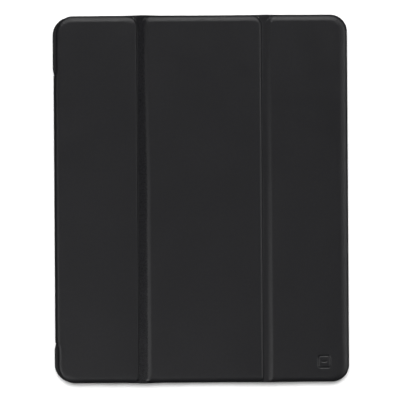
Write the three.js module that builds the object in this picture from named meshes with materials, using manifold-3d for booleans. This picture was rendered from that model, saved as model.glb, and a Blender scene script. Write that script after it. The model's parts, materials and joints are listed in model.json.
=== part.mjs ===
// Tri-fold tablet case with a stylus bay, closed and lying on its back.
// Millimetres. +X runs from the spine to the free edge, +Y to the top of the tablet, +Z out of the cover.
// The origin is the centre of the underside.

import * as THREE from 'three';
import { mergeVertices } from 'three/addons/utils/BufferGeometryUtils.js';
import Module from 'manifold-3d';

const wasm = await Module();
wasm.setup();

// ---- driving dimensions -------------------------------------------------------------------------

const CASE_W = 231.6; // left corner bumpers to the cover's free edge
const CASE_L = 289; // the cover's top edge to its bottom edge
const CASE_T = 14;
const CORNER_R = 14.2;
const COVER_CORNER_R = CORNER_R - 1;

const TABLET = { w: 214.9, l: 280.6, t: 6.4, r: 18 };
const TABLET_LEFT = -110; // the tablet sits left of centre: the stylus lies beside it
const TABLET_CLEARANCE = 0.3;
const STYLUS = { d: 8.9, l: 166, play: 1.5 };

const LAYER_GAP = 0.05; // glue line between laminated layers
const FIT_GAP = 0.3; // around a piece that is let into another

const SKIN_T = 0.85;
const LINING_T = 0.5;
const BOARD_T = 1.2;
const FOAM_T = 0.8;

// the tray, from the underside up
const BACK_SKIN_TOP = 0.8;
const PLATE_BOTTOM = BACK_SKIN_TOP + LAYER_GAP;
const PLATE_TOP = 2.2;
const TRAY_LINING_TOP = 2.7;
const TABLET_BOTTOM = TRAY_LINING_TOP + LAYER_GAP;
const TABLET_MID = TABLET_BOTTOM + TABLET.t / 2;
const LIP_BOTTOM = TABLET_BOTTOM + TABLET.t + 0.2;
const RIM_TOP = 10.3;

// the cover, from its lining up
const COVER_BOTTOM = 10.5;
const LINING_TOP = COVER_BOTTOM + LINING_T;
const BOARD_BOTTOM = LINING_TOP + LAYER_GAP;
const FOAM_BOTTOM = BOARD_BOTTOM + BOARD_T + LAYER_GAP;
const SKIN_BOTTOM = CASE_T - SKIN_T;

// the two creases: centre line, and half the width from pad to pad
const CREASES = [
  { x: -44.9, half: 5.5, floorHalf: 2.95 },
  { x: 52.0, half: 4.0, floorHalf: 2.35 },
];
const CREASE_AXIS_Z = 11.7;
const FLANGE_GAP = 2.15; // the thin flanges end this far from the crease's axis
const FLANGE_TOP = 12.4;
const FLANGE_SKIN_BOTTOM = FLANGE_TOP - SKIN_T;
const FLANGE_LINING_TOP = FLANGE_SKIN_BOTTOM - LAYER_GAP;

// the spine, between the two corner bumpers on the hinge side
const SPINE_X = -114.6; // its outer face
const SPINE_Y = [-113, 98];
const SPINE_Z = [1.5, 10];
const SPINE_STIFFENER_T = 0.6;
const COVER_LEFT = -113;
const COVER_RIGHT = CASE_W / 2;

// the bumper frame
const FRAME_Y = CASE_L / 2 - 0.6;
const FRAME_RIGHT = CASE_W / 2 - 0.8;
const FRAME_BULGE_X = -CASE_W / 2;
const FRAME_RECESS_X = -112.2; // its wall behind the spine
const RECESS_Y = [SPINE_Y[0] - 1, SPINE_Y[1] + 1];
const SHOULDER = 5; // length of the curve from a bumper into the recess
const LIP = 1.2;
const FLANGE_W = 7;

const TABLET_RIGHT = TABLET_LEFT + TABLET.w;
const TABLET_X = (TABLET_LEFT + TABLET_RIGHT) / 2;
const STYLUS_BAY = { x0: TABLET_RIGHT - 2, x1: FRAME_RIGHT - 1, half: (STYLUS.l + 2 * STYLUS.play) / 2 };
STYLUS_BAY.floor = RIM_TOP + 0.05 - STYLUS.d;

const CAMERA = { x: TABLET_RIGHT - 22.5, y: TABLET.l / 2 - 22.5, size: 36, r: 10, rim: 2.5 };
const SPEAKER = { offset: 62, length: 30, height: 3.2 };
const USB = { length: 13, height: 6.5 };
const MIC_R = 1.1;

const BUTTON_H = 3.6;
const SIDE_BUTTON_L = 10.4;
const VOLUME_Y = { volume_up_button: 108, volume_down_button: 95 };
const POWER_BUTTON = { x: TABLET_RIGHT - 26, length: 14 };
const BUTTON_PROUD = 0.4;

const LATCH_MAGNET = { w: 5, l: 24, t: 1.1 };
const LATCH_ROWS = [-105, -65, -25, 25, 65, 105];
const STAND_KEEPER = { w: 8, l: 56, t: 0.6 };
const KEEPER_ROWS = [-80, 0, 80];
const WAKE_MAGNET = { x: 101, y: 96, r: 4 };

// ---- materials ----------------------------------------------------------------------------------

const MATERIALS = {
  leather: new THREE.MeshStandardMaterial({ color: 0x2a2a2c, roughness: 0.55, metalness: 0 }),
  microfibre: new THREE.MeshStandardMaterial({ color: 0x303033, roughness: 0.95, metalness: 0 }),
  tpu: new THREE.MeshStandardMaterial({ color: 0x1c1c1e, roughness: 0.6, metalness: 0 }),
  hard_plastic: new THREE.MeshStandardMaterial({ color: 0x232325, roughness: 0.4, metalness: 0 }),
  board: new THREE.MeshStandardMaterial({ color: 0x8c8a84, roughness: 0.8, metalness: 0 }),
  foam: new THREE.MeshStandardMaterial({ color: 0x4a4a4c, roughness: 0.95, metalness: 0 }),
  magnet: new THREE.MeshStandardMaterial({ color: 0xb8babd, roughness: 0.3, metalness: 1 }),
  tape: new THREE.MeshStandardMaterial({ color: 0x3a3a3c, roughness: 0.9, metalness: 0 }),
};

// ---- shapes -------------------------------------------------------------------------------------

const ARC_STEPS = 6;

function roundedRect(x0, x1, y0, y1, r) {
  const shape = new THREE.Shape();
  shape.moveTo(x0 + r, y0);
  shape.lineTo(x1 - r, y0);
  shape.absarc(x1 - r, y0 + r, r, -Math.PI / 2, 0);
  shape.lineTo(x1, y1 - r);
  shape.absarc(x1 - r, y1 - r, r, 0, Math.PI / 2);
  shape.lineTo(x0 + r, y1);
  shape.absarc(x0 + r, y1 - r, r, Math.PI / 2, Math.PI);
  shape.lineTo(x0, y0 + r);
  shape.absarc(x0 + r, y0 + r, r, Math.PI, 1.5 * Math.PI);
  return shape;
}

// The frame's outline, drawn in by inset: bumpers at both ends of the hinge side, a recess between.
function frameOutline(inset) {
  const [x0, x1, y] = [FRAME_BULGE_X + inset, FRAME_RIGHT - inset, FRAME_Y - inset];
  const r = CORNER_R - inset;
  const recess = FRAME_RECESS_X + inset;
  const [low, high] = RECESS_Y;
  const shape = new THREE.Shape();
  shape.moveTo(x0 + r, -y);
  shape.lineTo(x1 - r, -y);
  shape.absarc(x1 - r, -y + r, r, -Math.PI / 2, 0);
  shape.lineTo(x1, y - r);
  shape.absarc(x1 - r, y - r, r, 0, Math.PI / 2);
  shape.lineTo(x0 + r, y);
  shape.absarc(x0 + r, y - r, r, Math.PI / 2, Math.PI);
  shape.lineTo(x0, high + SHOULDER);
  shape.bezierCurveTo(x0, high + SHOULDER / 2, recess, high + SHOULDER / 2, recess, high);
  shape.lineTo(recess, low);
  shape.bezierCurveTo(recess, low - SHOULDER / 2, x0, low - SHOULDER / 2, x0, low - SHOULDER);
  shape.lineTo(x0, -y + r);
  shape.absarc(x0 + r, -y + r, r, Math.PI, 1.5 * Math.PI);
  return shape;
}

// ---- solids -------------------------------------------------------------------------------------

function toManifold(geometry) {
  const bare = geometry.clone();
  bare.deleteAttribute('normal');
  bare.deleteAttribute('uv');
  const merged = mergeVertices(bare, 1e-4);
  const mesh = new wasm.Mesh({
    numProp: 3,
    vertProperties: new Float32Array(merged.attributes.position.array),
    triVerts: new Uint32Array(merged.index.array),
  });
  return new wasm.Manifold(mesh);
}

function toGeometry(solid) {
  const mesh = solid.getMesh();
  const geometry = new THREE.BufferGeometry();
  geometry.setAttribute('position', new THREE.BufferAttribute(new Float32Array(mesh.vertProperties), 3));
  geometry.setIndex(new THREE.BufferAttribute(new Uint32Array(mesh.triVerts), 1));
  geometry.computeVertexNormals();
  return geometry;
}

// A plan outline raised from z0 to z1.
function slab(shape, z0, z1) {
  const geometry = new THREE.ExtrudeGeometry(shape, {
    depth: z1 - z0,
    bevelEnabled: false,
    curveSegments: ARC_STEPS,
  });
  return toManifold(geometry.translate(0, 0, z0));
}

// A cross-section in X and Z, run from y0 to y1.
function run(points, y0, y1) {
  const shape = new THREE.Shape(points.map(([x, z]) => new THREE.Vector2(x, z)));
  const geometry = new THREE.ExtrudeGeometry(shape, {
    depth: y1 - y0,
    bevelEnabled: false,
    curveSegments: ARC_STEPS,
  });
  geometry.rotateX(Math.PI / 2);
  return toManifold(geometry.translate(0, y1, 0));
}

function box(x0, x1, y0, y1, z0, z1) {
  const geometry = new THREE.BoxGeometry(x1 - x0, y1 - y0, z1 - z0);
  return toManifold(geometry.translate((x0 + x1) / 2, (y0 + y1) / 2, (z0 + z1) / 2));
}

function disc(x, y, r, z0, z1) {
  const geometry = new THREE.CylinderGeometry(r, r, z1 - z0, 4 * ARC_STEPS);
  geometry.rotateX(Math.PI / 2);
  return toManifold(geometry.translate(x, y, (z0 + z1) / 2));
}

// A slot through a wall that faces along Y, with round ends.
function wallSlotY(x, z, length, height, y0, y1) {
  const [u, v] = [length / 2, height / 2];
  const shape = roundedRect(x - u, x + u, z - v, z + v, v - 0.01);
  const geometry = new THREE.ExtrudeGeometry(shape, {
    depth: y1 - y0,
    bevelEnabled: false,
    curveSegments: ARC_STEPS,
  });
  geometry.rotateX(Math.PI / 2);
  return toManifold(geometry.translate(0, y1, 0));
}

const group = new THREE.Group();

function add(name, solid, material) {
  const mesh = new THREE.Mesh(toGeometry(solid), MATERIALS[material]);
  mesh.name = name;
  group.add(mesh);
}

// ---- the tray -----------------------------------------------------------------------------------

function bayOutline(grow) {
  return roundedRect(
    TABLET_LEFT - grow,
    TABLET_RIGHT + grow,
    -TABLET.l / 2 - grow,
    TABLET.l / 2 + grow,
    TABLET.r + grow,
  );
}

function cameraOutline(grow) {
  const half = CAMERA.size / 2 + grow;
  return roundedRect(CAMERA.x - half, CAMERA.x + half, CAMERA.y - half, CAMERA.y + half, CAMERA.r + grow);
}

const stylusBay = box(
  STYLUS_BAY.x0,
  STYLUS_BAY.x1,
  -STYLUS_BAY.half,
  STYLUS_BAY.half,
  STYLUS_BAY.floor,
  CASE_T,
);

const cameraCut = slab(cameraOutline(CAMERA.rim + FIT_GAP), -1, CASE_T);

// Openings in the two short walls for the speakers, the socket and a microphone.
function wallOpenings() {
  const span = { top: [TABLET.l / 2 - 2, CASE_L], bottom: [-CASE_L, -TABLET.l / 2 + 2] };
  const cuts = [];
  for (const [y0, y1] of [span.top, span.bottom]) {
    for (const side of [-1, 1]) {
      const x = TABLET_X + side * SPEAKER.offset;
      cuts.push(wallSlotY(x, TABLET_MID, SPEAKER.length, SPEAKER.height, y0, y1));
    }
  }
  cuts.push(wallSlotY(TABLET_X, TABLET_MID, USB.length, USB.height, ...span.bottom));
  cuts.push(wallSlotY(TABLET_X, TABLET_MID, 2 * MIC_R, 2 * MIC_R, ...span.top));
  return cuts;
}

// Each button is a plunger through the wall, with a gap all round in the wall's own slot.
function buttonBlock(name, grow) {
  const [z0, z1] = [TABLET_MID - BUTTON_H / 2 - grow, TABLET_MID + BUTTON_H / 2 + grow];
  if (name === 'power_button') {
    const half = POWER_BUTTON.length / 2 + grow;
    const y0 = TABLET.l / 2 + (grow ? -2 : 0.9);
    const y1 = FRAME_Y + (grow ? 2 : BUTTON_PROUD);
    return box(POWER_BUTTON.x - half, POWER_BUTTON.x + half, y0, y1, z0, z1);
  }
  const half = SIDE_BUTTON_L / 2 + grow;
  const x0 = TABLET_RIGHT + (grow ? -2 : 0.9);
  const x1 = FRAME_RIGHT + (grow ? 2 : BUTTON_PROUD);
  return box(x0, x1, VOLUME_Y[name] - half, VOLUME_Y[name] + half, z0, z1);
}

const BUTTONS = ['power_button', ...Object.keys(VOLUME_Y)];

function bumperFrame() {
  let frame = slab(frameOutline(0), PLATE_BOTTOM, RIM_TOP);
  const cuts = [
    slab(bayOutline(TABLET_CLEARANCE), PLATE_TOP, LIP_BOTTOM),
    slab(bayOutline(-LIP), LIP_BOTTOM - 1, CASE_T),
    slab(bayOutline(-FLANGE_W), 0, PLATE_TOP + 1),
    stylusBay,
    cameraCut,
    ...wallOpenings(),
    ...BUTTONS.map((name) => buttonBlock(name, FIT_GAP)),
  ];
  for (const cut of cuts) frame = frame.subtract(cut);
  return frame;
}

function cameraRing() {
  const outer = slab(cameraOutline(CAMERA.rim), 0.2, TRAY_LINING_TOP);
  return outer.subtract(slab(cameraOutline(0), -1, CASE_T));
}

// The tray's leather runs out to the spine's outer face between the bumpers.
function backSkin() {
  const sheet = slab(frameOutline(1.2), 0, BACK_SKIN_TOP);
  const tongue = box(SPINE_X + 0.3, FRAME_RECESS_X + 3, SPINE_Y[0], SPINE_Y[1], 0, BACK_SKIN_TOP);
  return sheet.add(tongue).subtract(cameraCut);
}

function trayLining() {
  const sheet = slab(bayOutline(0), PLATE_TOP + LAYER_GAP, TRAY_LINING_TOP);
  return sheet.subtract(stylusBay).subtract(cameraCut);
}

add('bumper_frame', bumperFrame(), 'tpu');
const backPlate = slab(bayOutline(-FLANGE_W - FIT_GAP), PLATE_BOTTOM, PLATE_TOP).subtract(cameraCut);

add('back_plate', backPlate, 'hard_plastic');
add('back_skin', backSkin(), 'leather');
add('tray_lining', trayLining(), 'microfibre');
add('camera_ring', cameraRing(), 'hard_plastic');
for (const name of BUTTONS) add(name, buttonBlock(name, 0), 'tpu');

// ---- the spine ----------------------------------------------------------------------------------

const [spineLow, spineHigh] = SPINE_Z;
const spineSkinX = SPINE_X + SKIN_T;
const spineStiffX = spineSkinX + LAYER_GAP;
const spineLiningX = spineStiffX + SPINE_STIFFENER_T + LAYER_GAP;
const STIFFENER_MARGIN = 1;

add('spine_skin', box(SPINE_X, spineSkinX, ...SPINE_Y, spineLow, spineHigh), 'leather');
add(
  'spine_stiffener',
  box(
    spineStiffX,
    spineStiffX + SPINE_STIFFENER_T,
    SPINE_Y[0] + STIFFENER_MARGIN,
    SPINE_Y[1] - STIFFENER_MARGIN,
    spineLow + STIFFENER_MARGIN,
    spineHigh - STIFFENER_MARGIN,
  ),
  'board',
);
add(
  'spine_lining',
  box(spineLiningX, spineLiningX + LINING_T, ...SPINE_Y, spineLow, spineHigh),
  'microfibre',
);

// ---- the cover ----------------------------------------------------------------------------------

const coverPlan = slab(
  roundedRect(COVER_LEFT, COVER_RIGHT, -CASE_L / 2, CASE_L / 2, COVER_CORNER_R),
  0,
  2 * CASE_T,
);

// Offsets from a crease's axis where the flanges meet the thick part of a panel.
const STEP = { skin: [3.1, 3.9], liningTop: [3.0, 3.8], liningBottom: [2.8, 3.6] };
const EDGE_CHAMFER = 0.9;

// One side of a panel's cross-section: side is 1 at its left edge, -1 at its right.
function skinEdge(crease, side) {
  if (!crease) {
    const x = side > 0 ? COVER_LEFT : COVER_RIGHT;
    return [[x, BOARD_BOTTOM], [x, CASE_T - EDGE_CHAMFER], [x + side * EDGE_CHAMFER, CASE_T]];
  }
  const at = (offset) => crease.x + side * offset;
  return [
    [at(STEP.skin[1]), BOARD_BOTTOM],
    [at(STEP.skin[0]), FLANGE_SKIN_BOTTOM],
    [at(FLANGE_GAP), FLANGE_SKIN_BOTTOM],
    [at(FLANGE_GAP), FLANGE_TOP],
    [at(crease.floorHalf), FLANGE_TOP],
    [at(crease.half), CASE_T],
  ];
}

function liningEdge(crease, side) {
  if (!crease) {
    const x = side > 0 ? COVER_LEFT : COVER_RIGHT;
    return [[x, COVER_BOTTOM], [x, LINING_TOP]];
  }
  const at = (offset) => crease.x + side * offset;
  return [
    [at(STEP.liningBottom[1]), COVER_BOTTOM],
    [at(STEP.liningBottom[0]), LINING_TOP],
    [at(FLANGE_GAP), LINING_TOP],
    [at(FLANGE_GAP), FLANGE_LINING_TOP],
    [at(STEP.liningTop[0]), FLANGE_LINING_TOP],
    [at(STEP.liningTop[1]), LINING_TOP],
  ];
}

const POCKET_MARGIN = 1; // the skin's turned-down edge

// Where the foam and the board lie inside a panel.
function pocket(left, right, shrink) {
  const margin = POCKET_MARGIN + shrink;
  const x0 = left ? left.x + left.half + shrink : COVER_LEFT + margin;
  const x1 = right ? right.x - right.half - shrink : COVER_RIGHT - margin;
  const y = CASE_L / 2 - margin;
  const plan = roundedRect(COVER_LEFT + margin, COVER_RIGHT - margin, -y, y, COVER_CORNER_R - margin);
  return slab(plan, 0, 2 * CASE_T).intersect(box(x0, x1, -CASE_L, CASE_L, 0, 2 * CASE_T));
}

function layer(plan, z0, z1) {
  return plan.intersect(box(-CASE_W, CASE_W, -CASE_L, CASE_L, z0, z1));
}

// The leather over the corner above the spine turns with the first panel, and lies a little below its top.
function cornerWrap() {
  const round = 2;
  const top = CASE_T - 1.2;
  const flat = 0.6;
  const bottom = BOARD_BOTTOM + 0.2;
  const inside = COVER_LEFT + POCKET_MARGIN;
  const hem = SPINE_Z[1] + FIT_GAP;
  const points = [
    [inside, bottom],
    [inside, top],
    [SPINE_X + round, top],
    [SPINE_X + flat, top - flat],
    [SPINE_X, top - round],
    [SPINE_X, hem],
    [spineSkinX, hem],
    [spineSkinX, bottom],
  ];
  return run(points.reverse(), SPINE_Y[0], SPINE_Y[1]);
}

function addPanel(number, left, right, inserts) {
  const name = `panel_${number}`;
  const skinLine = [...skinEdge(left, 1), ...skinEdge(right, -1).reverse()].reverse();
  const liningLine = [...liningEdge(left, 1), ...liningEdge(right, -1).reverse()].reverse();
  let skin = run(skinLine, -CASE_L, CASE_L).intersect(coverPlan);
  if (!left) skin = skin.add(cornerWrap());
  skin = skin.subtract(layer(pocket(left, right, 0), 0, SKIN_BOTTOM));
  let board = layer(pocket(left, right, FIT_GAP), BOARD_BOTTOM, BOARD_BOTTOM + BOARD_T);
  for (const insert of inserts) board = board.subtract(insert.window);
  add(`${name}_skin`, skin, 'leather');
  add(`${name}_foam`, layer(pocket(left, right, FIT_GAP), FOAM_BOTTOM, FOAM_BOTTOM + FOAM_T), 'foam');
  add(`${name}_board`, board, 'board');
  add(`${name}_lining`, run(liningLine, -CASE_L, CASE_L).intersect(coverPlan), 'microfibre');
  for (const insert of inserts) add(insert.name, insert.solid, 'magnet');
}

// A flat bar let into a window of a board.
function barInsert(name, x, y, size) {
  const piece = (grow, t) =>
    box(
      x - size.w / 2 - grow,
      x + size.w / 2 + grow,
      y - size.l / 2 - grow,
      y + size.l / 2 + grow,
      BOARD_BOTTOM - grow,
      BOARD_BOTTOM + t + grow,
    );
  return { name, solid: piece(0, size.t), window: piece(FIT_GAP, BOARD_T) };
}

function discInsert(name, { x, y, r }) {
  return {
    name,
    solid: disc(x, y, r, BOARD_BOTTOM, BOARD_BOTTOM + LATCH_MAGNET.t),
    window: disc(x, y, r + FIT_GAP, BOARD_BOTTOM - 1, BOARD_BOTTOM + BOARD_T + 1),
  };
}

const KEEPER_X = COVER_LEFT + 10;
const LATCH_X = COVER_RIGHT - 6;
const keepers = KEEPER_ROWS.map((y, i) => barInsert(`stand_keeper_${i + 1}`, KEEPER_X, y, STAND_KEEPER));
const latches = LATCH_ROWS.map((y, i) => barInsert(`latch_magnet_${i + 1}`, LATCH_X, y, LATCH_MAGNET));

addPanel(1, null, CREASES[0], keepers);
addPanel(2, CREASES[0], CREASES[1], []);
addPanel(3, CREASES[1], null, [...latches, discInsert('wake_magnet', WAKE_MAGNET)]);

// The woven tape bonded into each crease, which its panels turn about.
const TAPE = { half: 1.8, t: 0.7, inset: 3 };
CREASES.forEach((crease, i) => {
  const tape = box(
    crease.x - TAPE.half,
    crease.x + TAPE.half,
    -CASE_L / 2 + TAPE.inset,
    CASE_L / 2 - TAPE.inset,
    CREASE_AXIS_Z - TAPE.t / 2,
    CREASE_AXIS_Z + TAPE.t / 2,
  );
  add(`crease_${i + 1}_tape`, tape, 'tape');
});

export default group;
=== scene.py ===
import json
import math

import bmesh
import bpy
import numpy as np
from mathutils import Matrix, Vector

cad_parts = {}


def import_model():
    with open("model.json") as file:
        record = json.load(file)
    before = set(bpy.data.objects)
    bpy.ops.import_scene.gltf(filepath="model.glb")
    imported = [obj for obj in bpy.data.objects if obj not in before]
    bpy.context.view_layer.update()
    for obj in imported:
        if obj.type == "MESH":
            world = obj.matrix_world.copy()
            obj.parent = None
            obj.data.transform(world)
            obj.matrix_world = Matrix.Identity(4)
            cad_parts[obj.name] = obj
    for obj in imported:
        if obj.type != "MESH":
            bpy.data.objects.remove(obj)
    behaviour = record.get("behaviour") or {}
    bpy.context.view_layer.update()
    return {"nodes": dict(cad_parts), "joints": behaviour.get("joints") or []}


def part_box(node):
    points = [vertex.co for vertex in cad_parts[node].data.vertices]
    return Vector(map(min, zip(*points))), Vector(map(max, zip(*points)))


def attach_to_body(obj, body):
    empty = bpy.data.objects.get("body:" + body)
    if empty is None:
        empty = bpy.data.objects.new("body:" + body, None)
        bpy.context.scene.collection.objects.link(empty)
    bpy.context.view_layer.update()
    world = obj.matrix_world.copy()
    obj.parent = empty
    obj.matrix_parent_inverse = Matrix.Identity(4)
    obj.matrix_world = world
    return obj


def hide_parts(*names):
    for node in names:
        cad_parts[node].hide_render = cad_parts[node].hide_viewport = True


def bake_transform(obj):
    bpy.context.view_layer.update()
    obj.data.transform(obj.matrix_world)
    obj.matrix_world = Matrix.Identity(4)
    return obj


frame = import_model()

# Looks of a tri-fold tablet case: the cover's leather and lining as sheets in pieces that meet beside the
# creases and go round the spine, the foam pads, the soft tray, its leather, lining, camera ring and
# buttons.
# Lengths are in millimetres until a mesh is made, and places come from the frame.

MM = 0.001

# ---- places read from the frame ---------------------------


def box_mm(node):
    low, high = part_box(node)
    return np.array(low) / MM, np.array(high) / MM


JOINTS = {joint["name"]: joint for joint in frame["joints"]}
NODES = frame["nodes"]

CREASE_X = [JOINTS[f"crease_{n}_fold"]["pos_m"][0] / MM for n in (1, 2)]
CREASE_Z = JOINTS["crease_1_fold"]["pos_m"][2] / MM
LINING_LOW, LINING_HIGH = box_mm("panel_1_lining")
COVER_LEFT = LINING_LOW[0]
COVER_RIGHT = box_mm("panel_3_skin")[1][0]
COVER_HALF = box_mm("panel_2_skin")[1][1]
COVER_TOP = box_mm("panel_2_skin")[1][2]
COVER_BOTTOM = LINING_LOW[2]
SPINE_LOW, SPINE_HIGH = box_mm("spine_skin")
SPINE_X = SPINE_LOW[0]
SPINE_Y = (SPINE_LOW[1], SPINE_HIGH[1])
LINING_X = box_mm("spine_lining")[1][0]
SPINE_MID = (SPINE_LOW[2] + SPINE_HIGH[2]) / 2
BOARD_TOP = box_mm("panel_1_board")[1][2]
FRAME_LOW, FRAME_HIGH = box_mm("bumper_frame")
BAY_LOW, BAY_HIGH = box_mm("tray_lining")
BACK_TOP = box_mm("back_skin")[1][2]
PLATE_TOP = box_mm("back_plate")[1][2]
RING_LOW, RING_HIGH = box_mm("camera_ring")

# ---- shape of the sheets ----------------------------------

SKIN = 0.8  # leather thickness
LINING = 0.45
GLUE = 0.05  # gap between glued layers
CORNER = 13.2  # plan radius of the cover's corners
FLOOR = 12.35  # height of the leather along the bottom of a crease
PAD = COVER_TOP - FLOOR  # how far the padded panels stand above it
CROWN = 0.28  # extra height in the middle of a pad
HEM = LINING_HIGH[2] - 0.47  # where the turned-down edge ends
HEM_ROUND = 0.2
HEM_PUFF = {"hinge": 0.3, "free": 0.1}  # how far the hem swells out at the cover's two sides

# width of the slope from a pad's flat to its edge, and the plan radius of a pad's corner beside a crease
END_SLOPE = 5.0
FREE_SLOPE = 6.3
HINGE_SLOPE = 3.0
RIM_DROP = 2.55
PAD_CORNER = {"top": 8.0, "bottom": 4.0}
# each crease: where its left and right walls start, how wide they are, how far it narrows to the top, how
# dark its floor is painted with shade (the leather is smoother there too), and how far and over what half
# width the hem bulges at its ends
CREASES = [
    {"floor": (4.3, 0.2), "walls": (1.5, 5.2), "narrows": 1.5, "crease_shade_and_mark": 0.75, "bulge": (0.45, 9)},
    {"floor": (2.9, 0.1), "walls": (2.9, 4.0), "narrows": 0.3, "crease_shade_and_mark": 0.25, "bulge": (0.2, 7)},
]
BEND = 2.3  # how far each side of a crease's axis attach puts two points, which it then leaves unused
SEAM_MARGIN = 9.5  # the crease's own piece runs this far each side of the axis

SEAM_X = SPINE_X + 4  # where the spine's leather joins the panel's and the back's
TOP_ROUND = 3.9
BOTTOM_ROUND = 1.6
TAB_FILLET = 5.0
STRAIGHT_HALF = 124.0  # rows are straight across up to here, and follow the corners beyond
LINING_INSET = 0.7
LINING_RISE = {"height": 0.48, "half": 3.7, "fade": 1.3}  # how it is pressed up into the creases
FOAM_MARGIN = 1.6

PLEATS = {"height": 0.1, "per_radian": 26, "from_edge": 5.5}
RIPPLE = 0.018

# where the leather along a crease's floor is painted darker with shade, and is smoother, seen from a
# crease's axis
CREASE_SHADE_BAND = {"middle": 0.5, "half": 6.5, "fade": 2}

MARK = {"x": 96.4, "y": -128.7, "size": 10.4, "line": 1.1, "corner": 2.8, "bar": 1.6, "depth": 0.42}


def smooth(t):
    t = np.clip(t, 0, 1)
    return t * t * (3 - 2 * t)


def spaced(start, stop, step):
    """Even steps from start up to, and without, stop."""
    count = max(1, math.ceil(abs(stop - start) / step - 1e-6))
    return np.linspace(start, stop, count, endpoint=False)


def lines(*stretches):
    """Grid lines through several stretches (start, stop, step), with the last stop."""
    return np.concatenate([spaced(*s) for s in stretches] + [[stretches[-1][1]]])


def in_tab(y):
    """1 along the spine, 0 beside the corner bumpers, with a short fillet outside the spine's ends."""
    low, high = SPINE_Y
    return smooth((y - low) / TAB_FILLET + 1) * smooth((high - y) / TAB_FILLET + 1)


def left_edge(y):
    return COVER_LEFT + (SPINE_X - COVER_LEFT) * in_tab(y)


def end_bulge(x):
    """The hem stands out a little at the ends of the creases."""
    bulges = zip(CREASE_X, (crease["bulge"] for crease in CREASES))
    return sum(height * np.exp(-(((x - centre) / half) ** 2)) for centre, (height, half) in bulges)


def end_line(x):
    """Half the cover's length at x: straight, with round corners."""
    side = np.minimum(x - COVER_LEFT, COVER_RIGHT - x)
    reach = np.clip(CORNER - side, 0, CORNER)
    return COVER_HALF - CORNER + np.sqrt(CORNER**2 - reach**2)


def corner_distance(from_side, from_end, radius):
    """Distance to two sides and the arc between them, with the arc's direction and where it is nearest."""
    across, along = np.clip(radius - from_side, 0, None), np.clip(radius - from_end, 0, None)
    length = np.maximum(np.hypot(across, along), 1e-9)
    rounded = (across > 0) & (along > 0)
    distance = np.where(rounded, radius - length, np.minimum(from_side, from_end))
    return distance, across / length, along / length, rounded


def edge_distance(x, y):
    """Distance to the cover's outline and the unit vector inwards from its nearest point."""
    from_left, from_right = x - left_edge(y), COVER_RIGHT - x
    from_side = np.minimum(from_left, from_right)
    from_end = COVER_HALF - np.abs(y)
    distance, across, along, rounded = corner_distance(from_side, from_end, CORNER)
    nearer_side = from_side < from_end
    nx = np.where(rounded, across, nearer_side * 1.0) * np.where(from_left < from_right, 1, -1)
    ny = np.where(rounded, along, ~nearer_side * 1.0) * -np.sign(y)
    return distance, nx, ny


def convex(t):
    """A quarter of an ellipse, from 0 to 1."""
    t = np.clip(t, 0, 1)
    return np.sqrt(1 - (1 - t) ** 2)


def sloped(distance, width):
    """A pad's outer edge: a slope that falls from a soft shoulder, and ends below the creases' floor."""
    back = np.clip(1 - distance / width, 0, 1)
    return 1 - RIM_DROP / PAD * (1 - np.sqrt(1 - back**1.4))


def steep_wall(distance, width):
    """A crease's left wall: it rolls over from the pad and drops."""
    return convex(distance / width) ** 1.3


def hollow_wall(distance, width):
    """A crease's right wall: it rises in a hollow curve to a soft shoulder."""
    foot, shoulder = 0.82, 0.36  # the parts of the width that they take
    foot_height = 0.735
    t = np.clip(distance / width, 0, foot + shoulder)
    over = np.clip((t - foot) / shoulder, 0, 1)
    return np.where(t < foot, t**1.55, foot_height + (1 - foot_height) * (1 - (1 - over) ** 2))


WALLS = {"steep": steep_wall, "hollow": hollow_wall, "sloped": sloped}


def panel_sides(index, y):
    """The foot of a panel's left and right sides, each with its wall's width and form."""
    if index == 0:
        left = (left_edge(y) - 6 * (in_tab(y) > 0.999), HINGE_SLOPE, "sloped")
    else:
        crease = CREASES[index - 1]
        narrower = crease["narrows"] * smooth(y / 120)
        left = (CREASE_X[index - 1] + crease["floor"][1] - narrower, crease["walls"][1], "hollow")
    if index == 2:
        right = (COVER_RIGHT, FREE_SLOPE, "sloped")
    else:
        crease = CREASES[index]
        right = (CREASE_X[index] - crease["floor"][0], crease["walls"][0], "steep")
    return left, right


def pad_share(index, x, y):
    """How much of the pad's height panel index has at x, y, from 0 to 1."""
    (left, left_width, left_form), (right, right_width, right_form) = panel_sides(index, y)
    nearer_left = x - left < right - x
    from_side = np.minimum(x - left, right - x)
    from_end = COVER_HALF - np.abs(y)
    inner = np.where(y > 0, PAD_CORNER["top"], PAD_CORNER["bottom"])
    radii = [CORNER if form == "sloped" else inner for form in (left_form, right_form)]
    radius = np.where(nearer_left, *radii)
    distance, _, along, rounded = corner_distance(from_side, from_end, radius)
    end_share = np.where(rounded, along**2, (from_end < from_side) * 1.0)
    side_height = np.where(
        nearer_left, WALLS[left_form](distance, left_width), WALLS[right_form](distance, right_width)
    )
    height = side_height * (1 - end_share) + sloped(distance, END_SLOPE) * end_share
    return np.where(distance > -1e-6, height, 0)


def crown(index, x, y):
    left = COVER_LEFT if index == 0 else CREASE_X[index - 1] + 3
    right = COVER_RIGHT if index == 2 else CREASE_X[index] - 3
    middle, half = (left + right) / 2, (right - left) / 2
    across = 1 - np.clip(np.abs(x - middle) / half, 0, 1) ** 2.4
    along = 1 - np.clip(np.abs(y) / COVER_HALF, 0, 1) ** 6
    return CROWN * across * along


def ripple(x, y):
    """The faint unevenness of leather glued over foam, in millimetres."""
    return RIPPLE * (np.sin(x / 17.0 + 0.8) * np.sin(y / 29.0 + 0.3) + 0.6 * np.sin(x / 9.5 + y / 21.0))


def pleats(x, y):
    """Short radial pleats where the hem is gathered round a corner."""
    distance, nx, ny = edge_distance(x, y)
    angle = np.arctan2(np.abs(ny), np.abs(nx))
    in_corner = smooth(np.sin(2 * angle) * 2) * (np.abs(nx * ny) > 1e-6)
    band = smooth(distance / 0.8) * smooth((PLEATS["from_edge"] - distance) / 3)
    return PLEATS["height"] * np.sin(angle * PLEATS["per_radian"]) * in_corner * band


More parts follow.
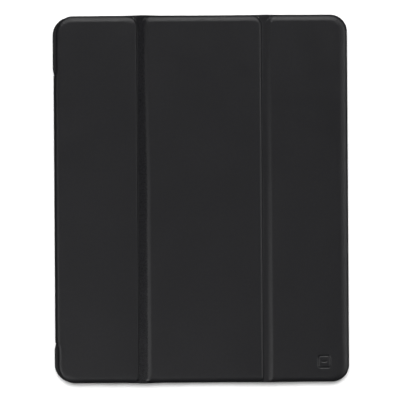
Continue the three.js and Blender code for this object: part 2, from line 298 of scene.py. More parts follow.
def mark_depth(x, y):
    """A small debossed mark: a square frame with round corners, and a short bar in it."""
    inner_half, line = MARK["size"] / 2 - MARK["corner"], MARK["line"]
    across = np.abs(x - MARK["x"])
    dx, dy = across - inner_half, np.abs(y - MARK["y"]) - inner_half
    beyond = np.hypot(np.clip(dx, 0, None), np.clip(dy, 0, None)) + np.minimum(np.maximum(dx, dy), 0)
    ring = np.abs(beyond - MARK["corner"] + line / 2)
    bar = np.hypot(np.clip(across - MARK["bar"], 0, None), y - MARK["y"])
    return MARK["depth"] * smooth((line - np.minimum(ring, bar)) / line * 1.3)


def cover_height(x, y):
    """Height of the cover's leather at x, y."""
    pads = [pad_share(i, x, y) for i in range(3)]
    height = FLOOR + sum(share * (PAD + crown(i, x, y)) for i, share in enumerate(pads))
    return height + (ripple(x, y) + pleats(x, y)) * np.clip(sum(pads), 0, 1) - mark_depth(x, y)


# ---- meshes -----------------------------------------------


def new_object(name, data):
    """Puts a mesh, curve, light or camera in the scene."""
    thing = bpy.data.objects.new(name, data)
    bpy.context.scene.collection.objects.link(thing)
    return thing


def new_mesh(name, vertices, faces, sharp_deg=50):
    mesh = bpy.data.meshes.new(name)
    mesh.from_pydata([tuple(v) for v in vertices * MM], [], faces)
    return finish_mesh(name, mesh, sharp_deg)


def shade(mesh, sharp_deg, plate=False):
    """Smooth apart from sharp edges, and from a plate's level sides, which stay flat to their rims."""
    mesh.set_sharp_from_angle(angle=math.radians(sharp_deg))
    smooth_faces = [not plate or abs(face.normal.z) < 0.9999 for face in mesh.polygons]
    mesh.polygons.foreach_set("use_smooth", smooth_faces)


def finish_mesh(name, mesh, sharp_deg, plate=False):
    """Merges doubles, turns the faces out, shades it and stores where each point is at rest."""
    bm = bmesh.new()
    bm.from_mesh(mesh)
    bmesh.ops.remove_doubles(bm, verts=bm.verts, dist=2e-6)
    bmesh.ops.dissolve_degenerate(bm, dist=1e-7, edges=bm.edges)
    bmesh.ops.recalc_face_normals(bm, faces=bm.faces)
    bm.to_mesh(mesh)
    bm.free()
    shade(mesh, sharp_deg, plate)
    store_rest(mesh)
    return new_object(name, mesh)


def store_rest(mesh):
    """Stores where the points are at rest, so that patterns don't swim as leather bends, and a mask of
    painted shade along the creases' floors and of the darker mark, where the leather is also smoother."""
    places = np.zeros(len(mesh.vertices) * 3, np.float32)
    mesh.vertices.foreach_get("co", places)
    attribute = mesh.attributes.new("rest", "FLOAT_VECTOR", "POINT")
    attribute.data.foreach_set("vector", places)
    x, y, z = places.reshape(-1, 3).T / MM
    # painted shade: the leather along each crease's floor is darkened where shade falls in the groove, and
    # is smoother there; the mark is darker too
    crease_shade = 0
    for centre, crease in zip(CREASE_X, CREASES):
        inside = CREASE_SHADE_BAND["half"] - np.abs(x - centre - CREASE_SHADE_BAND["middle"])
        crease_shade = crease_shade + crease["crease_shade_and_mark"] * smooth(inside / CREASE_SHADE_BAND["fade"])
    crease_shade = crease_shade * smooth((COVER_TOP - 0.3 - z) / 0.9) * smooth(z - FLOOR + 1.2)
    crease_shade_and_mark = crease_shade + (z > FLOOR) * mark_depth(x, y) / MARK["depth"]
    mesh.attributes.new("crease_shade_and_mark", "FLOAT", "POINT").data.foreach_set("value", crease_shade_and_mark.astype(np.float32))


def sheet_piece(name, outer, inner, keep):
    """A closed sheet between two matching grids of points, of the cells that keep marks."""
    rows, columns = keep.shape
    used = np.zeros(outer.shape[:2], bool)
    for i, j in ((0, 0), (1, 0), (0, 1), (1, 1)):
        used[i : i + rows, j : j + columns] |= keep
    number = -np.ones(used.shape, int)
    number[used] = np.arange(used.sum())
    count = int(used.sum())
    vertices = np.concatenate([outer[used], inner[used]])
    padded = np.pad(keep, 1)
    faces = []
    for i, j in zip(*np.nonzero(keep)):
        a, b, c, d = number[i, j], number[i + 1, j], number[i + 1, j + 1], number[i, j + 1]
        faces.append((a, b, c, d))
        faces.append((d + count, c + count, b + count, a + count))
        for open_side, p, q in (
            (not padded[i + 1, j], a, b),
            (not padded[i + 2, j + 1], b, c),
            (not padded[i + 1, j + 2], c, d),
            (not padded[i, j + 1], d, a),
        ):
            if open_side:
                faces.append((q, p, p + count, q + count))
    return new_mesh(name, vertices, faces)


# ---- the cover's grid -------------------------------------

DROPS = 2  # extra grid lines outside the outline, which go down the hem
MARK_REACH = 6  # half the field of fine lines round the mark


def corner_lines(start, direction):
    """Columns round a corner, closer together towards the side."""
    angles = np.linspace(0, math.pi / 2, 26)
    return start + direction * CORNER * (1 - np.cos(angles))


def cover_columns():
    first, second = CREASE_X
    near, far = SEAM_MARGIN, SEAM_MARGIN + 2
    left = corner_lines(COVER_LEFT, 1)
    left = left[np.abs(left - SEAM_X) > 0.15]
    left = np.sort(np.append(left, SEAM_X))
    right = corner_lines(COVER_RIGHT, -1)[::-1]
    mark_from, mark_to = MARK["x"] - MARK_REACH, MARK["x"] + MARK_REACH
    middle = lines(
        (left[-1] + 2.5, first - far, 3.0),
        (first - far, first - near, 1.0),
        (first - near, first + near, 0.35),
        (first + near, first + far, 1.0),
        (first + far, second - far, 4.0),
        (second - far, second - near, 1.0),
        (second - near, second + near, 0.35),
        (second + near, second + far, 1.0),
        (second + far, mark_from, 3.5),
        (mark_from, mark_to, 0.25),
    )
    return np.concatenate([left, middle[middle < right[0] - 0.1], right])


def cover_rows():
    low, high = SPINE_Y
    end, fine = COVER_HALF, COVER_HALF - 6
    mark_from, mark_to = MARK["y"] - MARK_REACH, MARK["y"] + MARK_REACH
    return lines(
        (-end, -end + 1.2, 0.15),
        (-end + 1.2, mark_from, 0.45),
        (mark_from, mark_to, 0.25),
        (mark_to, low - TAB_FILLET, 1.0),
        (low - TAB_FILLET, low, 0.7),
        (low, low + 1, 0.25),
        (low + 1, high - 1, 5.0),
        (high - 1, high, 0.25),
        (high, high + TAB_FILLET, 0.7),
        (high + TAB_FILLET, STRAIGHT_HALF, 2.0),
        (STRAIGHT_HALF, fine, 0.7),
        (fine, end - 1.2, 0.4),
        (end - 1.2, end, 0.15),
    )


COLUMNS, ROWS = cover_columns(), cover_rows()


def plan_grid(inset=0.0):
    """x and y of each grid point: straight rows in the middle, following the round corners at the ends.
    The border lines come DROPS more times, for the hem."""
    x, y = np.meshgrid(COLUMNS, ROWS, indexing="ij")
    end = end_line(np.clip(x, COVER_LEFT, COVER_RIGHT))
    past = np.clip(np.abs(y) - STRAIGHT_HALF, 0, None)
    stretch = (end - STRAIGHT_HALF) / (COVER_HALF - STRAIGHT_HALF)
    y = np.sign(y) * (np.minimum(np.abs(y), STRAIGHT_HALF) + past * stretch)
    shift = left_edge(y) - COVER_LEFT
    x = x + shift * smooth((SEAM_X - x) / (SEAM_X - COVER_LEFT)) * (x < SEAM_X)
    distance, nx, ny = edge_distance(x, y)
    step = inset * np.clip(1 - distance / 5, 0, 1)
    bulge = end_bulge(x) * np.sign(y) * smooth(1 - distance / 3) * (np.abs(ny) > 0.9)
    return [np.pad(grid, DROPS, mode="edge") for grid in (x + nx * step, y + ny * step + bulge)]


def lines_outside(count):
    """How many lines past the outline each of the padded grid's lines is."""
    number = np.arange(-DROPS, count + DROPS)
    return np.abs(number - np.clip(number, 0, count - 1))


HEM_LEVEL = np.maximum.outer(lines_outside(len(COLUMNS)), lines_outside(len(ROWS)))


def cover_surfaces():
    """The leather's outer and inner grids over the whole cover."""
    x, y = plan_grid()
    inner_x, inner_y = plan_grid(SKIN)
    last_x, last_y = plan_grid(HEM_ROUND)
    _, nx, _ = edge_distance(x, y)
    puff = np.where(nx < 0, HEM_PUFF["hinge"], HEM_PUFF["free"]) * (HEM_LEVEL == 1)
    outer_x = np.where(HEM_LEVEL == 2, last_x, x - nx * puff)
    outer_y = np.where(HEM_LEVEL == 2, last_y, y)
    z = cover_height(x, y)
    over_board = sum(np.abs(x - c) < 6 for c in CREASE_X) == 0
    lowest = np.where(over_board, np.minimum(z - 0.25, BOARD_TOP + GLUE), HEM + 0.3)
    inner_z = np.maximum(z - SKIN, lowest)
    outer_z, inner_z = (np.choose(HEM_LEVEL, (height, HEM + HEM_ROUND, HEM)) for height in (z, inner_z))
    return np.stack([outer_x, outer_y, outer_z], -1), np.stack([inner_x, inner_y, inner_z], -1)


def lining_surfaces():
    """The cover's lining: flat under the panels, and pressed up a little into the creases."""
    x, y = plan_grid(LINING_INSET)
    near = [smooth((LINING_RISE["half"] - np.abs(x - c)) / LINING_RISE["fade"]) for c in CREASE_X]
    low = COVER_BOTTOM + LINING_RISE["height"] * sum(near)
    shown = low + np.choose(HEM_LEVEL, (0, 0.12, LINING / 2))
    hidden = low + np.choose(HEM_LEVEL, (LINING, LINING, LINING / 2))
    return np.stack([x, y, shown], -1), np.stack([x, y, hidden], -1)


def cells_between(low, high):
    """The padded grid's cells between two columns, without the spine's part."""
    x, y = (np.pad(grid, DROPS, mode="edge") for grid in (COLUMNS, ROWS))
    x, y = (x[:-1] + x[1:]) / 2, (y[:-1] + y[1:]) / 2
    keep = np.outer((x > low) & (x < high), np.ones(len(y), bool))
    beside_spine = np.outer(x < SEAM_X, (y > SPINE_Y[0]) & (y < SPINE_Y[1]))
    return keep & ~beside_spine


FAR = 1000.0
SEAMS = [-FAR, *(x + side * SEAM_MARGIN for x in CREASE_X for side in (-1, 1)), FAR]
STRIPS = dict(zip(("panel_1", "crease_1", "panel_2", "crease_2", "panel_3"), zip(SEAMS, SEAMS[1:])))


def dress(piece, material, slot, *nodes):
    """Gives a piece its material and hides the nodes it stands for. slot is not used."""
    piece.data.materials.clear()
    piece.data.materials.append(material)
    if nodes:
        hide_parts(*nodes)


def attach(piece, strip):
    """Panels ride on their bodies; a crease's piece is left where it is."""
    if strip.startswith("panel"):
        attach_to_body(piece, strip)
        return
    number = int(strip[-1])
    x = CREASE_X[number - 1]
    start, end = ((x - BEND) * MM, 0, CREASE_Z * MM), ((x + BEND) * MM, 0, CREASE_Z * MM)
    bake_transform(piece)
    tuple(start)
    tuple(end)


def cover_sheets(kind, surfaces, material, slot, replaced):
    for strip, (low, high) in STRIPS.items():
        piece = sheet_piece(f"cover_{kind}_{strip}", *surfaces, cells_between(low, high))
        attach(piece, strip)
        dress(piece, material, slot, *(node for node in replaced if node.startswith(strip)))


# ---- the spine --------------------------------------------

END_ROUND = 0.3  # how far the leather falls away at the spine's two ends
FOLD = {"depth": 0.22, "half": 0.7}


def arc(centre, radius, start_deg, stop_deg, count):
    angles = np.radians(np.linspace(start_deg, stop_deg, count))
    return [(centre[0] + radius * math.cos(a), centre[1] + radius * math.sin(a)) for a in angles]


def path_normals(path):
    """Unit normals to the left of a path of x, z points."""
    direction = np.gradient(path, axis=0)
    direction /= np.linalg.norm(direction, axis=1)[:, None]
    return np.stack([-direction[:, 1], direction[:, 0]], -1)


def spine_path(outside, top, bottom, top_round, bottom_round=0.0):
    """From the panel, round the top corner and down the spine, then in under the tray if it has a round."""
    path = [(x, top) for x in spaced(SEAM_X, outside + top_round, 0.4)]
    path += arc((outside + top_round, top - top_round), top_round, 90, 180, 14)
    path += [(outside, z) for z in spaced(top - top_round, bottom + bottom_round, 0.4)[1:]]
    if not bottom_round:
        return np.array(path + [(outside, bottom)])
    path += arc((outside + bottom_round, bottom + bottom_round), bottom_round, 180, 270, 10)
    path += [(x, bottom) for x in spaced(outside + bottom_round, SEAM_X, 0.4)[1:]]
    return np.array(path + [(SEAM_X, bottom)])


def spine_surfaces(path, thickness, facing, top_height=None, folds=(), hem=0.0, bow=0.0):
    """Two grids along the spine. facing is 1 where the shown side is on the path's right. top_height gives
    the height of an uneven upper seam, folds the heights of pressed lines, hem how far the ends turn in and
    bow how far the middle swells out."""
    rows = ROWS[(ROWS > SPINE_Y[0] - 1e-6) & (ROWS < SPINE_Y[1] + 1e-6)]
    if hem:
        rows = np.pad(rows, 1, mode="edge")
    x, z = path[:, 0][:, None], path[:, 1][:, None]
    nx, nz = (n[:, None] for n in (path_normals(path) * -facing).T)
    on_spine = smooth((SEAM_X - 1.2 - x) / 1.5)
    from_end = np.minimum(rows - SPINE_Y[0], SPINE_Y[1] - rows)[None, :]
    swell = bow * np.sin(math.pi * np.clip(z / path[0, 1], 0, 1)) ** 2
    sink = END_ROUND * (1 - convex(from_end)) * on_spine - swell
    for height in folds:
        sink = sink + FOLD["depth"] * np.exp(-(((z - height) / FOLD["half"]) ** 2)) * on_spine
    depth = np.full(sink.shape, thickness)
    y_inner = rows.copy()
    if hem:
        turned = hem * (2 - on_spine[:, 0])
        sink[:, 0], sink[:, -1], depth[:, 0], depth[:, -1] = (turned,) * 4
        y_inner[:2], y_inner[-2:] = SPINE_Y[0] + thickness, SPINE_Y[1] - thickness
    lift = 0
    if top_height:
        rise = smooth((z - SPINE_MID) / (path[0, 1] - SPINE_MID - 1))
        lift = (top_height(rows) - path[0, 1])[None, :] * rise
    grids = []
    for offset, y in ((sink, rows), (depth, y_inner)):
        y = np.broadcast_to(y, offset.shape)
        grids.append(np.stack([x - nx * offset, y, z - nz * offset + lift], -1))
    return grids


def spine_sheets(kind, surfaces, material, slot, bends, replaced):
    """The spine's sheet in two pieces that meet halfway down, one for each of the long hinges. bends gives
    each piece's two x, z points round its hinge, which are made into places and not used further."""
    outer, inner = surfaces
    split = int(np.argmax(outer[:, 1, 2] < SPINE_MID))
    parts = {"top": slice(0, split + 1), "bottom": slice(split, None)}
    for end, part in parts.items():
        keep = np.ones((outer[part].shape[0] - 1, outer.shape[1] - 1), bool)
        piece = sheet_piece(f"spine_{kind}_{end}", outer[part], inner[part], keep)
        start, stop = ((x * MM, 0, z * MM) for x, z in bends[end])
        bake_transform(piece)
        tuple(start)
        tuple(stop)
        dress(piece, material, slot, *([replaced] if end == "top" else []))


# ---- flat pieces with round edges -------------------------


def rounded_outline(x0, x1, y0, y1, radius, steps=14):
    points = []
    for cx, cy, start in (
        (x1 - radius, y0 + radius, -90),
        (x1 - radius, y1 - radius, 0),
        (x0 + radius, y1 - radius, 90),
        (x0 + radius, y0 + radius, 180),
    ):
        points += arc((cx, cy), radius, start, start + 90, steps)
    return points


def flat_piece(name, outlines, z0, z1, bevel):
    """A plate of the given outlines, the later ones cut out of the first, with its edges rounded."""
    curve = bpy.data.curves.new(name, "CURVE")
    curve.dimensions = "2D"
    curve.fill_mode = "BOTH"
    curve.offset = -bevel * MM
    curve.bevel_depth = bevel * MM
    curve.bevel_resolution = 3
    curve.extrude = ((z1 - z0) / 2 - bevel) * MM
    for outline in outlines:
        spline = curve.splines.new("POLY")
        spline.points.add(len(outline) - 1)
        for point, (x, y) in zip(spline.points, outline):
            point.co = (x * MM, y * MM, 0, 1)
        spline.use_cyclic_u = True
    maker = new_object(name + "_maker", curve)
    bpy.context.view_layer.update()
    mesh = bpy.data.meshes.new_from_object(maker.evaluated_get(bpy.context.evaluated_depsgraph_get()))
    bpy.data.objects.remove(maker)
    mesh.name = name
    mesh.transform(Matrix.Translation((0, 0, (z0 + z1) / 2 * MM)))
    return finish_mesh(name, mesh, 40, plate=True)


def lofted(name, loops, closed=False, sharp_deg=40):
    """A skin over loops of equally many points: capped at both ends, or closed into a ring."""
    loops = np.array(loops, float)
    count, size = loops.shape[:2]
    number = np.arange(count * size).reshape(count, size)
    faces = []
    for k in range(count if closed else count - 1):
        low, high = number[k], number[(k + 1) % count]
        for i in range(size):
            j = (i + 1) % size
            faces.append((low[i], low[j], high[j], high[i]))
    if not closed:
        faces += [tuple(number[0][::-1]), tuple(number[-1])]
    return new_mesh(name, loops.reshape(-1, 3), faces, sharp_deg)


def cut(piece, cutters, sharp_deg=40, plate=False):
    """Takes the cutters out of a piece and removes them."""
    for cutter in cutters:
        change = piece.modifiers.new("cut", "BOOLEAN")
        change.operation = "DIFFERENCE"
        change.solver = "EXACT"
        change.object = cutter
        bpy.context.view_layer.update()
        mesh = bpy.data.meshes.new_from_object(piece.evaluated_get(bpy.context.evaluated_depsgraph_get()))
        piece.modifiers.clear()
        piece.data = mesh
    for cutter in cutters:
        bpy.data.objects.remove(cutter)
    mesh = piece.data
    mesh.name = piece.name
    shade(mesh, sharp_deg, plate)
    for name in ("rest", "crease_shade_and_mark"):
        mesh.attributes.remove(mesh.attributes[name])
    store_rest(mesh)
    return piece


# ---- the tray ---------------------------------------------

TABLET_CLEARANCE = 0.3
BAY = (BAY_LOW[0], BAY_HIGH[0], BAY_LOW[1], BAY_HIGH[1])
BAY_CORNER = 18
FRAME_CORNER = 14.2
FRAME_RECESS = LINING_X + 0.35
SHOULDER = 5.0  # length over which the frame draws in towards the spine
SHOULDER_IN = 0.8
SPINE_GAP = 0.3  # between the spine's ends and the corner bumpers
BUTTONS = ("power_button", "volume_up_button", "volume_down_button")
BUTTON_LOW, BUTTON_HIGH = (corner[2] for corner in box_mm("power_button"))
BUTTON_HEIGHT = BUTTON_HIGH - BUTTON_LOW
WALL_MID = (BUTTON_LOW + BUTTON_HIGH) / 2
LIP = 1.2  # how far the lip reaches over the tablet
LIP_BOTTOM = FRAME_HIGH[2] - 0.95
LIP_EASE = 0.35
FLANGE = 7.0  # how far the tray's floor reaches in under the plate's edge
RIM = 1.3  # radius of the frame's top edge
FOOT = 0.8  # radius of its bottom edge
CAMERA_CORNER = 10
CAMERA_RIM = 2.5
STYLUS = {"left": BAY[1] - 2, "right": FRAME_HIGH[0] - 1, "half": 84.5, "floor": 1.45, "round": 3.0}
SPEAKER = {"offset": 62, "length": 30, "height": 3.2}
SOCKET = {"length": 13, "height": 6.5}
MICROPHONE = 2.2
BEYOND = 30  # cutters that go right through end here


def side_y():
    """Places of the points along the hinge side, close together over the shoulders."""
    low, high = SPINE_Y[0] - SPINE_GAP, SPINE_Y[1] + SPINE_GAP
    top = FRAME_HIGH[1] - FRAME_CORNER
    return lines(
        (top, high + SHOULDER, 6.0),
        (high + SHOULDER, high + SPINE_GAP, 0.5),
        (high + SPINE_GAP, high, 0.06),
        (high, low, 15.0),
        (low, low - SPINE_GAP, 0.06),
        (low - SPINE_GAP, low - SHOULDER, 0.5),
        (low - SHOULDER, -top, 6.0),
    )


def frame_x(y, inset=0.0):
    """The frame's hinge side: out at the corners, a little in at the spine's ends, and behind the spine."""
    past = max(SPINE_Y[0] - y, y - SPINE_Y[1]) - SPINE_GAP
    outer = FRAME_LOW[0] + SHOULDER_IN * (1 - smooth(past / SHOULDER))
    turned = FRAME_RECESS + (outer - FRAME_RECESS) * convex(past / SPINE_GAP)
    return float(turned) + inset


def tray_outline(x0, x1, y, r, hinge_side):
    """An outline from x0 to x1 and -y to y, anticlockwise from the lower right. Its left side is given."""
    points = arc((x1 - r, -y + r), r, -90, 0, 12)
    points += [(x1, v) for v in np.linspace(-y + r, y - r, 28)[1:-1]]
    points += arc((x1 - r, y - r), r, 0, 90, 12)
    points += [(u, y) for u in np.linspace(x1 - r, x0 + r, 24)[1:-1]]
    points += arc((x0 + r, y - r), r, 90, 180, 12)
    points += hinge_side
    points += arc((x0 + r, -y + r), r, 180, 270, 12)
    points += [(u, -y) for u in np.linspace(x0 + r, x1 - r, 24)[1:-1]]
    return points


def frame_outline(inset):
    """The frame's outline, drawn in by inset."""
    left = [(frame_x(v, inset), v) for v in side_y()[1:-1]]
    y, r = FRAME_HIGH[1] - inset, FRAME_CORNER - inset
    return tray_outline(FRAME_LOW[0] + inset, FRAME_HIGH[0] - inset, y, r, left)


def bay_outline(grow):
    """The tablet's outline, point for point beside frame_outline."""
    x0, y, r = BAY[0] - grow, BAY[3] + grow, BAY_CORNER + grow
    share = (y - r) / (FRAME_HIGH[1] - FRAME_CORNER)
    left = [(x0, v * share) for v in side_y()[1:-1]]
    return tray_outline(x0, BAY[1] + grow, y, r, left)


def at_height(outline, z):
    return [(x, y, z) for x, y in outline]


def quarter(radius, steps=5):
    """Inset and drop of points round a quarter circle, from the side up to the top."""
    angles = np.linspace(0, math.pi / 2, steps)
    return [(radius * (1 - math.cos(a)), radius * (1 - math.sin(a))) for a in angles]


def upright_cutter(low, high, corner, floor=-BEYOND):
    """A cutter with round upright edges, from floor to far above."""
    outline = rounded_outline(low[0], high[0], low[1], high[1], corner, 8)
    return lofted("cutter", [at_height(outline, z) for z in (floor, BEYOND)])


def camera_cutter(grow):
    low, high = RING_LOW + CAMERA_RIM - grow, RING_HIGH - CAMERA_RIM + grow
    return upright_cutter(low, high, CAMERA_CORNER + grow)


def stylus_cutter(floor=-BEYOND):
    low, high = (STYLUS["left"], -STYLUS["half"]), (STYLUS["right"], STYLUS["half"])
    return upright_cutter(low, high, STYLUS["round"], floor)


def wall_loops(place, length, height, axis, profile, steps):
    """Round-ended outlines in a wall that faces along axis. The profile is a list of depths, each with how
    much the outline grows there."""
    loops = []
    for depth, grow in profile:
        half_l, half_h = length / 2 + grow, height / 2 + grow
        outline = rounded_outline(-half_l, half_l, -half_h, half_h, half_h - 0.01, steps)
        points = [(place + u, depth, WALL_MID + v) for u, v in outline]
        loops.append(points if axis == 1 else [(y, x, z) for x, y, z in points])
    return loops


def wall_cutter(place, length, height, axis, inner, outer, flare=0.5):
    """A cutter for an opening from inner to outer, wider at its mouth."""
    sign = 1 if outer > 0 else -1
    profile = [(inner, 0.0)] + [(outer - sign * drop, grow) for grow, drop in quarter(flare)]
    profile.append((outer + 3 * sign, flare))
    return lofted("cutter", wall_loops(place, length, height, axis, profile, 7))


def bumper_cutters():
    """Cutters for the tray's openings: stylus bay, camera, speakers, socket, microphone and buttons."""
    cutters = [stylus_cutter(STYLUS["floor"]), camera_cutter(CAMERA_RIM + 0.3)]
    middle = (BAY[0] + BAY[1]) / 2
    inside, wall = BAY[3] - 2, FRAME_HIGH[1]
    length, height = SPEAKER["length"], SPEAKER["height"]
    for sign in (-1, 1):
        for side in (-1, 1):
            place = middle + side * SPEAKER["offset"]
            cutters.append(wall_cutter(place, length, height, 1, sign * inside, sign * wall))
    length, height = SOCKET["length"], SOCKET["height"]
    cutters.append(wall_cutter(middle, length, height, 1, -inside, -wall, 0.8))
    cutters.append(wall_cutter(middle, MICROPHONE, MICROPHONE, 1, inside, wall, 0.3))
    height = BUTTON_HEIGHT + 0.6
    for name in BUTTONS:
        place, length, axis, _, _ = button_place(name)
        inner, outer = (BAY[1] - 2, FRAME_HIGH[0]) if axis == 0 else (inside, wall)
        cutters.append(wall_cutter(place, length + 0.6, height, axis, inner, outer, 0.35))
    return cutters


def tray_bumper():
    """The soft tray: an outer wall with round edges, a lip over the tablet's edge and a flange under it."""
    top, bottom = FRAME_HIGH[2], FRAME_LOW[2]
    loops = [at_height(frame_outline(inset), bottom + drop) for inset, drop in quarter(FOOT)[::-1]]
    loops += [at_height(frame_outline(inset), top - drop) for inset, drop in quarter(RIM)]
    for grow, z in (
        (LIP_EASE - LIP, top),
        (0.1 - LIP, top - 0.1),
        (-LIP, top - LIP_EASE),
        (-LIP, LIP_BOTTOM + 0.2),
        (0.2 - LIP, LIP_BOTTOM),
        (TABLET_CLEARANCE, LIP_BOTTOM),
        (TABLET_CLEARANCE, PLATE_TOP),
        (-FLANGE, PLATE_TOP),
        (-FLANGE, bottom),
    ):
        loops.append(at_height(bay_outline(grow), z))
    return cut(lofted("tray_bumper", loops, closed=True), bumper_cutters())


def button_place(name):
    """Where a button sits along its wall, its length, the axis it is pressed along and its two ends."""
    low, high = box_mm(name)
    axis = 1 if name == "power_button" else 0
    along = 1 - axis
    # Where a button sits along its wall, its length, the axis along which it is pushed in and its two ends.
    return (low[along] + high[along]) / 2, high[along] - low[along], axis, low[axis], high[axis]


def button(name):
    """A plunger with a softly domed face and a raised bar along it."""
    place, length, axis, inner, outer = button_place(name)
    profile = [(inner, 0.0)] + [(outer - drop, -inset) for inset, drop in quarter(0.5)]
    bar = ((0.05, 0.8), (0.06, 1.02), (0.2, 1.1), (0.26, 1.25), (0.27, 1.5))
    profile += [(outer + height, -inset) for height, inset in bar]
    loops = wall_loops(place, length, BUTTON_HEIGHT, axis, profile, 8)
    return lofted(name + "_cap", loops, sharp_deg=35)


def camera_ring():
    """A hard ring round the camera window, with round edges."""
    low, high = RING_LOW, RING_HIGH
    edge = quarter(0.45)
    section = [(CAMERA_RIM - inset, high[2] - drop) for inset, drop in edge]
    section += [(inset, high[2] - drop) for inset, drop in edge[::-1]]
    section += [(inset, low[2] + drop) for inset, drop in edge]
    section += [(CAMERA_RIM - inset, low[2] + drop) for inset, drop in edge[::-1]]
    loops = []
    for grow, z in section:
        far = CAMERA_RIM - grow
        outline = rounded_outline(
            low[0] + far, high[0] - far, low[1] + far, high[1] - far, CAMERA_CORNER + grow, 12
        )
        loops.append(at_height(outline, z))
    return lofted("camera_surround", loops, closed=True)


def back_leather():
    """The tray's leather. Beside the spine it stops at the seam with the spine's own leather."""
    inset = 1.2
    outline = frame_outline(inset)
    low, high = SPINE_Y
    turned = []
    for x, y in outline:
        near = smooth((y - low) / SHOULDER + 1) * smooth((high - y) / SHOULDER + 1)
        if x < SEAM_X and near > 0:
            x = FRAME_LOW[0] + inset + (SEAM_X - FRAME_LOW[0] - inset) * near
        turned.append((x, y))
    piece = flat_piece("back_leather", [turned], 0, BACK_TOP, 0.3)
    return cut(piece, [camera_cutter(CAMERA_RIM + 0.3)], plate=True)


def tray_lining():
    piece = flat_piece("tray_lining_cloth", [bay_outline(-0.05)], PLATE_TOP + 0.05, BAY_HIGH[2], 0.15)
    return cut(piece, [camera_cutter(CAMERA_RIM + 0.7), stylus_cutter()], plate=True)


# ---- materials --------------------------------------------


class Nodes:
    """A material's node tree, with short calls for the nodes used here. Scales count cells to a metre."""

    def __init__(self, name, at_rest=False):
        self.material = bpy.data.materials.new(name)
        self.material.use_nodes = True
        self.tree = self.material.node_tree
        self.shader = self.tree.nodes["Principled BSDF"]
        self.place = self.stored("rest", "Vector") if at_rest else self.add("TexCoord").outputs["Object"]

    def link(self, source, target):
        self.tree.links.new(source, target)

    def fill(self, node, inputs):
        """Links or sets a node's inputs, with _ for a space in their names."""
        for name, value in inputs.items():
            socket = node.inputs[name.replace("_", " ")]
            if isinstance(value, bpy.types.NodeSocket):
                self.link(value, socket)
            else:
                socket.default_value = value

    def add(self, kind, **inputs):
        node = self.tree.nodes.new("ShaderNode" + kind)
        self.fill(node, inputs)
        return node

    def stored(self, name, output="Fac"):
        """What is stored on the mesh's points under a name."""
        node = self.add("Attribute")
        node.attribute_name = name
        return node.outputs[output]

    def noise(self, scale, detail=3.0, roughness=0.55, distortion=0.0, place=None):
        node = self.add("TexNoise", Vector=place or self.place, Scale=scale, Detail=detail)
        self.fill(node, {"Roughness": roughness, "Distortion": distortion})
        return node.outputs["Fac"]

    def stretched(self, x, y, z):
        return self.add("Mapping", Vector=self.place, Scale=(x, y, z)).outputs["Vector"]

    def cells(self, scale, feature="DISTANCE_TO_EDGE", place=None):
        node = self.add("TexVoronoi", Vector=place or self.place, Scale=scale)
        node.feature = feature
        return node.outputs["Distance"]

    def wobbled(self, scale, amount):
        """The place, shifted about by a noise, so that cells aren't regular."""
        shift = self.add("VectorMath")
        shift.operation = "MULTIPLY_ADD"
        shift.inputs[1].default_value = (amount, amount, amount)
        noise = self.add("TexNoise", Vector=self.place, Scale=scale)
        self.link(noise.outputs["Color"], shift.inputs[0])
        self.link(self.place, shift.inputs[2])
        return shift.outputs["Vector"]

    def spread(self, value, low, high, to_low, to_high):
        """Maps the stretch from low to high onto the one from to_low to to_high, with soft ends."""
        node = self.add("MapRange", Value=value, From_Min=low, From_Max=high)
        self.fill(node, {"To Min": to_low, "To Max": to_high})
        node.interpolation_type = "SMOOTHSTEP"
        return node.outputs["Result"]

    def combine(self, a, b, operation="ADD"):
        node = self.tree.nodes.new("ShaderNodeMath")
        node.operation = operation
        for socket, value in zip(node.inputs, (a, b)):
            if isinstance(value, (int, float)):
                socket.default_value = value
            else:
                self.link(value, socket)
        return node.outputs["Value"]

    def colour(self, value, dark, light):
        node = self.tree.nodes.new("ShaderNodeMix")
        node.data_type = "RGBA"
        node.inputs["A"].default_value = (*dark, 1)
        node.inputs["B"].default_value = (*light, 1)
        self.link(value, node.inputs["Factor"])
        self.link(node.outputs["Result"], self.shader.inputs["Base Color"])

    def rough(self, value):
        self.link(value, self.shader.inputs["Roughness"])

    def bump(self, value, distance, strength=1.0):
        """Adds a bump on top of those before it."""
        node = self.add("Bump", Height=value, Strength=strength, Distance=distance)
        normal = self.shader.inputs["Normal"]
        if normal.is_linked:
            self.link(normal.links[0].from_socket, node.inputs["Normal"])
        self.link(node.outputs["Normal"], normal)

    def fixed(self, **inputs):
        self.fill(self.shader, inputs)


def leather():
    """Fine-grained coated leather: small pebbles with creases between them, and a soft cloudy tone."""
    m = Nodes("black_leather", at_rest=True)
    pebbles = m.spread(m.cells(1500, place=m.wobbled(900, 0.0006)), 0.0, 0.32, 0.0, 1.0)
    fine = m.noise(5200, 2)
    clouds = m.combine(m.noise(28, 4), m.noise(420, 3), "MULTIPLY")
    # painted shade: the tone is darker along the creases' floors, where shade falls, and in the mark; the
    # leather is also smoother there, with flatter grain
    crease_shade_and_mark = m.stored("crease_shade_and_mark")
    tone = m.combine(m.spread(clouds, 0.12, 0.42, 0, 1), m.spread(crease_shade_and_mark, 0, 1, 1, 0), "MULTIPLY")
    m.colour(tone, (0.0064, 0.0064, 0.008), (0.0096, 0.0095, 0.0113))
    rough = m.spread(m.combine(pebbles, m.noise(60, 3)), 0.3, 1.6, 0.42, 0.33)
    m.rough(m.combine(rough, m.spread(crease_shade_and_mark, 0, 1, 1, 0.72), "MULTIPLY"))
    m.bump(m.noise(45, 2), 0.0004, 0.35)
    grain = m.combine(pebbles, m.combine(fine, 0.35, "MULTIPLY"))
    m.bump(m.combine(grain, m.spread(crease_shade_and_mark, 0, 1, 1, 0.45), "MULTIPLY"), 0.00004, 0.7)
    m.fixed(Specular_IOR_Level=0.42)
    return m.material


